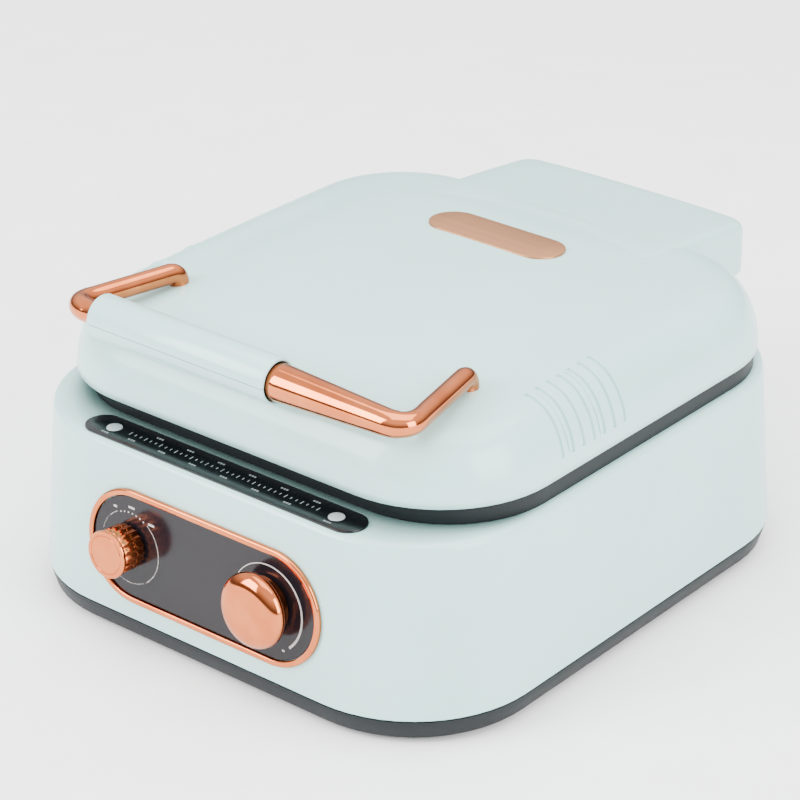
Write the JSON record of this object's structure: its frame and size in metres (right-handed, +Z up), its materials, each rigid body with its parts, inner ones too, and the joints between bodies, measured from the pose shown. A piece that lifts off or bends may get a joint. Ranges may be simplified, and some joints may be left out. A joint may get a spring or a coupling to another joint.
{
  "type": "waffle maker",
  "caption": "Countertop waffle maker: deep rounded base with a control panel, knobs and lamp strip, and a hinged domed lid with a bar handle over studded baking plates.",
  "frame": {"origin": "on the table plane, below the middle of the whole object with its lid closed", "axes": "+Z up, +Y towards the hinge at the rear, +X to the right as seen by the user in front"},
  "size_m": [0.2356, 0.2988, 0.1367],
  "materials": {
    "mint_plastic": "satin gloss mint",
    "slate_plastic": "fine satin dark slate",
    "copper_plated_steel": "polished rose copper plating",
    "copper_plated_plastic": "polished rose copper plating",
    "satin_copper": "satin copper tone",
    "smoked_plastic": "smooth smoked grey",
    "black_gloss": "polished black",
    "lamp_lens": "milky diffusing",
    "nonstick_aluminium": "dark non-stick coating",
    "steel": "bare sheet or turned steel",
    "ceramic": "white unglazed ceramic or heat-proof moulding",
    "rubber": "dull dark rubber",
    "bakelite": "dark heat-proof moulding"
  },
  "bodies": {
    "base": {"base_housing": "mint_plastic", "bottom_tray": "slate_plastic", "deck_frame": "slate_plastic", "lower_plate": "nonstick_aluminium", "lower_heating_element": "steel", "lower_reflector": "steel", "terminal_block": "ceramic", "thermal_fuse": "ceramic", "cord_bushing": "rubber", "power_lamp_lens": "lamp_lens", "power_lamp_holder": "ceramic", "ready_lamp_lens": "lamp_lens", "ready_lamp_holder": "ceramic", "indicator_strip": "black_gloss", "panel_trim": "copper_plated_plastic", "panel_face": "smoked_plastic", "control_bracket": "steel", "timer_body": "bakelite", "thermostat_body": "ceramic", "hinge_pin_left": "steel", "hinge_pin_right": "steel", "foot_front_left": "rubber", "tray_screw_front_left": "steel", "foot_front_right": "rubber", "tray_screw_front_right": "steel", "foot_rear_left": "rubber", "tray_screw_rear_left": "steel", "foot_rear_right": "rubber", "tray_screw_rear_right": "steel"},
    "lid": {"lid_cover": "mint_plastic", "lid_liner": "slate_plastic", "liner_screw_front_left": "steel", "liner_screw_front_right": "steel", "liner_screw_rear_left": "steel", "liner_screw_rear_right": "steel", "upper_plate": "nonstick_aluminium", "upper_heating_element": "steel", "upper_reflector": "steel", "lid_hinge_arm_left": "steel", "lid_hinge_arm_right": "steel", "handle_bar": "copper_plated_steel", "handle_ring_left": "steel", "handle_ring_right": "steel", "grip_upper_half": "mint_plastic", "grip_lower_half": "mint_plastic", "lid_badge": "satin_copper"},
    "timer_dial": {"timer_knob": "copper_plated_plastic", "timer_knob_cap": "copper_plated_plastic", "timer_shaft": "steel"},
    "temperature_dial": {"temperature_knob": "copper_plated_plastic", "thermostat_shaft": "steel"}
  },
  "joints": [
    {"name": "lid_hinge", "type": "hinge", "parent": "base", "child": "lid", "pos_m": [0, 0.12337, 0.09], "axis": [-1, 0, 0], "range_deg": [0, 100]},
    {"name": "timer_turn", "type": "hinge", "parent": "base", "child": "timer_dial", "pos_m": [-0.03848, -0.13418, 0.04427], "axis": [0, 0.9973, -0.0732], "range_deg": [0, 300]},
    {"name": "temperature_turn", "type": "hinge", "parent": "base", "child": "temperature_dial", "pos_m": [0.03398, -0.13418, 0.04427], "axis": [0, 0.9973, -0.0732], "range_deg": [0, 270]}
  ]
}
